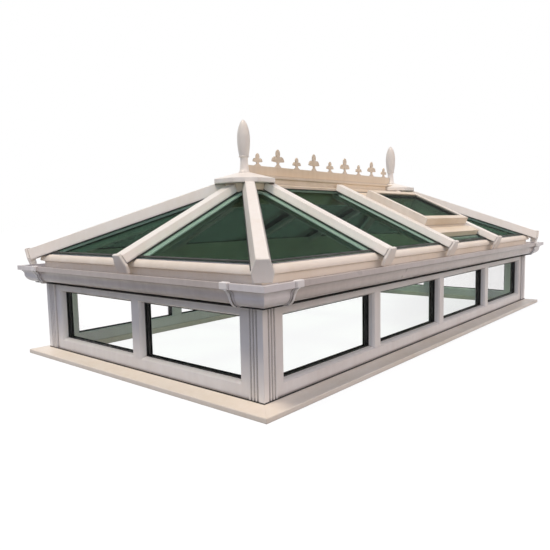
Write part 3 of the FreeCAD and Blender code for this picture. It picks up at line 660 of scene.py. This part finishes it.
def wall_shadow_and_seal_strips(name, offsets, heights):
    """Dark strips along the four walls, between two offsets and two heights, mitred at the corners."""
    for side, (turn, half_run, depth, lights) in SIDES.items():
        far = half_run + offsets[1]
        low = (-far, -depth - offsets[1], heights[0])
        high = (far, -depth - offsets[0], heights[1])
        strip = block(name + "_" + side, low, high)
        for end in (-1, 1):
            cut_away((end * half_run, -depth, 0), Vector((end, 1, 0)).normalized())
        soften(strip, STRIP_EDGE)
        settle(strip, wall_place(turn))
        finished(strip, seal_and_shadow_rubber)


# Cresting with rounded edges, from a merged copy of the solid
def cresting():
    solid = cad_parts["cresting"]
    band = solid.copy()
    band.data = solid.data.copy()
    bpy.context.collection.objects.link(band)
    bpy.ops.object.select_all(action="DESELECT")
    band.select_set(True)
    bpy.context.view_layer.objects.active = band
    band.name = "rounded_cresting"
    bpy.ops.object.mode_set(mode="EDIT")
    bpy.ops.mesh.select_all(action="SELECT")
    bpy.ops.mesh.remove_doubles(threshold=0.00001)
    bpy.ops.mesh.dissolve_limited(angle_limit=math.radians(1))
    bpy.ops.object.mode_set(mode="OBJECT")
    soften(band, CREST_EDGE)
    bpy.ops.object.shade_smooth_by_angle(angle=SMOOTH_ANGLE)
    finished(band, shaded_ridge_upvc, ["cresting"])


# Finials turned from a circle, ring by ring
def finial_rings():
    foot_angle = -math.acos(BULB_FOOT_RADIUS / BULB_RADIUS)
    collar = FINIAL_STEM[-1][1]
    foot_reach = (collar - BULB_HEIGHT) / math.sin(foot_angle)
    rings = list(FINIAL_STEM)
    for i in range(BULB_RINGS + 1):
        angle = foot_angle + (math.pi / 2 - foot_angle) * i / BULB_RINGS
        reach = foot_reach if angle < 0 else FINIAL_HEIGHT - BULB_HEIGHT
        slender = 1.0 if angle < 0 else BULB_POINT
        radius = max(BULB_RADIUS * math.cos(angle) ** slender, BULB_TIP_RADIUS)
        rings.append((radius, BULB_HEIGHT + reach * math.sin(angle)))
    return rings


def finials():
    rings = finial_rings()
    bpy.ops.object.select_all(action="DESELECT")
    bpy.ops.mesh.primitive_circle_add(
        vertices=FINIAL_FACETS, radius=rings[0][0], fill_type="NGON", location=(-RIDGE_END_X, 0, FINIAL_BASE_Z))
    near = bpy.context.object
    bpy.ops.object.transform_apply(location=True, rotation=True, scale=True)
    bpy.ops.object.mode_set(mode="EDIT")
    bpy.ops.mesh.select_all(action="SELECT")
    for (radius, height), (next_radius, next_height) in zip(rings, rings[1:]):
        bpy.ops.mesh.extrude_region_move(TRANSFORM_OT_translate={"value": (0, 0, next_height - height)})
        scale = next_radius / radius
        bpy.ops.transform.resize(
            value=(scale, scale, 1), center_override=(-RIDGE_END_X, 0, FINIAL_BASE_Z + next_height))
    bpy.ops.mesh.select_all(action="SELECT")
    bpy.ops.mesh.normals_make_consistent(inside=False)
    bpy.ops.object.mode_set(mode="OBJECT")
    bpy.ops.object.shade_smooth_by_angle(angle=SMOOTH_ANGLE)
    far = near.copy()
    far.data = near.data.copy()
    bpy.context.collection.objects.link(far)
    far.data.transform(Matrix.Translation((2 * RIDGE_END_X, 0, 0)))
    pair = joined("turned_finials", [near, far])
    finished(pair, cap_upvc, ["finials"])


# Studio: a pale floor and a white surround, which the eye, gloss and glass all see, and soft lamps
def seen_share(tree):
    """1 for a ray from the eye, from gloss or through glass, 0 for light that falls on the object."""
    path = add(tree, "ShaderNodeLightPath")
    by_glass = add(tree, "ShaderNodeMath", {
        0: path.outputs["Is Glossy Ray"], 1: path.outputs["Is Transmission Ray"]}, operation="MAXIMUM")
    seen = add(tree, "ShaderNodeMath", {
        0: path.outputs["Is Camera Ray"], 1: by_glass.outputs["Value"]}, operation="MAXIMUM")
    return seen.outputs["Value"]


def studio():
    bpy.ops.object.select_all(action="DESELECT")
    bpy.ops.mesh.primitive_plane_add(size=80, location=(0, 0, -0.001))
    floor = bpy.context.object
    floor.name = "studio_floor"
    material, tree = new_material("studio floor, painted")
    glow = add(tree, "ShaderNodeEmission", {"Color": linear(WHITE), "Strength": 0.93})
    paint = add(tree, "ShaderNodeBsdfDiffuse", {"Color": linear("696969")})
    shown = add(tree, "ShaderNodeAddShader", {0: glow.outputs["Emission"], 1: paint.outputs["BSDF"]})
    unseen = add(tree, "ShaderNodeBsdfDiffuse", {"Color": linear("6E6A64")})
    mix = add(tree, "ShaderNodeMixShader", {
        0: seen_share(tree), 1: unseen.outputs["BSDF"], 2: shown.outputs["Shader"]})
    add(tree, "ShaderNodeOutputMaterial", {"Surface": mix.outputs["Shader"]})
    floor.data.materials.append(material)

    world = bpy.data.worlds.new("studio surround")
    bpy.context.scene.world = world
    world.use_nodes = True
    tree = world.node_tree
    tree.nodes.clear()
    fill = add(tree, "ShaderNodeBackground", {"Color": linear("D6DFFF"), "Strength": 0.42})
    white = add(tree, "ShaderNodeBackground", {"Color": linear(WHITE), "Strength": 1.0})
    mix = add(tree, "ShaderNodeMixShader", {
        0: seen_share(tree), 1: fill.outputs["Background"], 2: white.outputs["Background"]})
    add(tree, "ShaderNodeOutputWorld", {"Surface": mix.outputs["Shader"]})

    lamps = {
        "soft key light": (1.78, 14, "FFEED8", (-0.34, 0.08, 0.94)),
        "broad warm fill": (0.95, 70, "FFDDB8", (0.30, -0.91, 0.30)),
        "broad cool fill": (0.42, 70, "EEF2FF", (-0.60, -0.76, 0.26)),
    }
    for name, (strength, spread, colour, source) in lamps.items():
        lamp = bpy.data.lights.new(name, "SUN")
        lamp.energy = strength
        lamp.angle = math.radians(spread)
        lamp.color = linear(colour)[:3]
        light = bpy.data.objects.new(name, lamp)
        light.rotation_euler = (-Vector(source)).to_track_quat("-Z", "Y").to_euler()
        bpy.context.scene.collection.objects.link(light)


# Camera at the photograph's place, fitted for a square picture
def camera():
    lens = bpy.data.cameras.new("camera")
    lens.sensor_width = 36.0
    lens.lens = 35.61
    lens.clip_end = 200.0
    eye = bpy.data.objects.new("camera", lens)
    eye.location = (-2.8652, -1.9745, 0.6687)
    yaw, tilt, roll = 0.8645, 0.1016, -0.0196
    turn = Matrix.Rotation(-yaw, 3, "Z") @ Matrix.Rotation(math.pi / 2 - tilt, 3, "X")
    eye.rotation_euler = (turn @ Matrix.Rotation(roll, 3, "Z")).to_euler()
    bpy.context.scene.collection.objects.link(eye)
    bpy.context.scene.camera = eye


# Finishes of the CAD nodes
for name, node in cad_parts.items():
    finish = wall_upvc
    if name.startswith("gutter_corner"):
        finish = corner_upvc
    # gutter runs take the darker copy as painted shade
    elif name.startswith("gutter"):
        finish = shaded_gutter_upvc
    # painted light and shade on one white uPVC: the vent stiles take the lighter trim copy while the vent rails
    # keep the darker ridge copy
    elif name.startswith(("sill", "eaves_beam")) or name.endswith("stiles"):
        finish = trim_upvc
    elif "caps" in name or "shields" in name or "bosses" in name:
        finish = cap_upvc
    # ridge, cresting and vent rails take the darker cream copy as painted shade
    elif name.startswith(("ridge", "vent")):
        finish = shaded_ridge_upvc
    node.data.materials.clear()
    node.data.materials.append(finish)

roof_units()
vent_unit()
side_units()
roof_seals()
gutter_clips()
# painted shadow: a black strip where the gutter's shade falls on the head rail
wall_shadow_and_seal_strips("gutter_shadow_line", *GUTTER_SHADOW_LINE)
wall_shadow_and_seal_strips("sill_seal", *SILL_JOINT)
cresting()
finials()
studio()
camera()
bpy.context.scene.view_settings.view_transform = "Standard"
